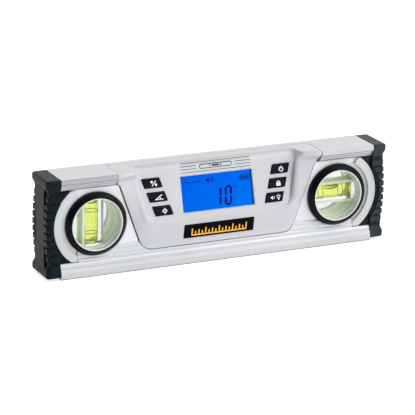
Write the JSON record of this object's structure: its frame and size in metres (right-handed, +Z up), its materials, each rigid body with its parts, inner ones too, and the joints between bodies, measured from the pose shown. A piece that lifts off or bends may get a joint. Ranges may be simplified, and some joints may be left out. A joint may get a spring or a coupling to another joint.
{
  "type": "digital spirit level",
  "caption": "Short box-section spirit level with a tilted backlit angle display, keys beside it, level and plumb vials in round windows and moulded end caps.",
  "frame": {"origin": "centre of the lower measuring face", "axes": "+X along the level from the plumb vial to the level vial, -Y out of the display side, +Z up"},
  "size_m": [0.25, 0.0284, 0.0684],
  "materials": {
    "anodised_aluminium": "fine satin, drawn along the rail",
    "nickel_plate": "bright nickel",
    "silver_plastic": "satin silver-grey moulding",
    "cover_plastic": "satin silver-grey moulding",
    "cap_rubber": "satin black, moulded",
    "black_plastic": "glossy black",
    "key_rubber": "matt black with white marks",
    "plunger_plastic": "plain",
    "white_plastic": "white moulding",
    "clear_acrylic": "polished clear",
    "clear_window": "polished clear",
    "vial_liquid": "clear yellow-green spirit",
    "vial_air": "air bubble",
    "lcd_glass": "blue lit display",
    "light_guide": "diffusing sheet",
    "black_rubber": "plain",
    "board_green": "green board",
    "chip_black": "moulded black",
    "switch_black": "moulded black",
    "cell_wrap": "plain wrapped cell",
    "spring_steel": "nickel plated",
    "screw_steel": "zinc plated",
    "lead_red": "red insulation",
    "lead_black": "black insulation"
  },
  "bodies": {
    "level_body": {"badge_plate": "black_plastic", "base_magnets": "nickel_plate", "battery_contacts": "spring_steel", "battery_lead_negative": "lead_black", "battery_lead_positive": "lead_red", "battery_lower": "cell_wrap", "battery_springs": "spring_steel", "battery_upper": "cell_wrap", "bezel_ring_front_left": "black_plastic", "bezel_ring_front_right": "black_plastic", "bezel_ring_rear_left": "black_plastic", "bezel_ring_rear_right": "black_plastic", "board_screws": "screw_steel", "buzzer": "chip_black", "circuit_board": "board_green", "display_window": "clear_window", "end_cap_left": "cap_rubber", "end_cap_right": "cap_rubber", "front_housing": "silver_plastic", "housing_screws": "screw_steel", "lcd_backlight": "light_guide", "lcd_connector": "black_rubber", "lcd_panel": "lcd_glass", "microcontroller": "chip_black", "rail": "anodised_aluminium", "rear_housing": "silver_plastic", "tact_switches": "switch_black", "tilt_sensor": "chip_black", "vial_carrier_left": "white_plastic", "vial_carrier_right": "white_plastic", "vial_cover_front_left": "cover_plastic", "vial_cover_front_right": "cover_plastic", "vial_cover_rear_left": "cover_plastic", "vial_cover_rear_right": "cover_plastic", "vial_lens_front_left": "clear_window", "vial_lens_front_right": "clear_window", "vial_lens_rear_left": "clear_window", "vial_lens_rear_right": "clear_window", "vial_liquid_left": "vial_liquid", "vial_liquid_right": "vial_liquid", "vial_tube_left": "clear_acrylic", "vial_tube_right": "clear_acrylic"},
    "unit_button": {"key_unit": "key_rubber", "plunger_unit": "plunger_plastic"},
    "reference_button": {"key_reference": "key_rubber", "plunger_reference": "plunger_plastic"},
    "calibrate_button": {"key_calibrate": "key_rubber", "plunger_calibrate": "plunger_plastic"},
    "power_button": {"key_power": "key_rubber", "plunger_power": "plunger_plastic"},
    "hold_button": {"key_hold": "key_rubber", "plunger_hold": "plunger_plastic"},
    "sound_button": {"key_sound": "key_rubber", "plunger_sound": "plunger_plastic"},
    "door_body": {"battery_door": "silver_plastic"},
    "level_bubble": {"vial_bubble_right": "vial_air"},
    "plumb_bubble": {"vial_bubble_left": "vial_air"}
  },
  "joints": [
    {"name": "unit_press", "type": "slide", "parent": "level_body", "child": "unit_button", "axis": [0, 0.9627, -0.2705], "range_m": [0, 0.0005], "stiffness_N_per_m": 1500},
    {"name": "reference_press", "type": "slide", "parent": "level_body", "child": "reference_button", "axis": [0, 0.9627, -0.2705], "range_m": [0, 0.0005], "stiffness_N_per_m": 1500},
    {"name": "calibrate_press", "type": "slide", "parent": "level_body", "child": "calibrate_button", "axis": [0, 0.9627, -0.2705], "range_m": [0, 0.0005], "stiffness_N_per_m": 1500},
    {"name": "power_press", "type": "slide", "parent": "level_body", "child": "power_button", "axis": [0, 0.9627, -0.2705], "range_m": [0, 0.0005], "stiffness_N_per_m": 1500},
    {"name": "hold_press", "type": "slide", "parent": "level_body", "child": "hold_button", "axis": [0, 0.9627, -0.2705], "range_m": [0, 0.0005], "stiffness_N_per_m": 1500},
    {"name": "sound_press", "type": "slide", "parent": "level_body", "child": "sound_button", "axis": [0, 0.9627, -0.2705], "range_m": [0, 0.0005], "stiffness_N_per_m": 1500},
    {"name": "battery_door_hinge", "type": "hinge", "parent": "level_body", "child": "door_body", "pos_m": [0, 0.0107, 0.042], "axis": [1, 0, 0], "range_deg": [0, 90]},
    {"name": "level_bubble_slide", "type": "slide", "parent": "level_body", "child": "level_bubble", "axis": [1, 0, 0], "range_m": [-0.008, 0.008], "stiffness_N_per_m": 4, "deforming": ["vial_liquid_right"]},
    {"name": "plumb_bubble_slide", "type": "slide", "parent": "level_body", "child": "plumb_bubble", "axis": [0, 0, 1], "range_m": [-0.024, 0], "stiffness_N_per_m": 4, "springref_m": 0.006, "deforming": ["vial_liquid_left"]}
  ]
}
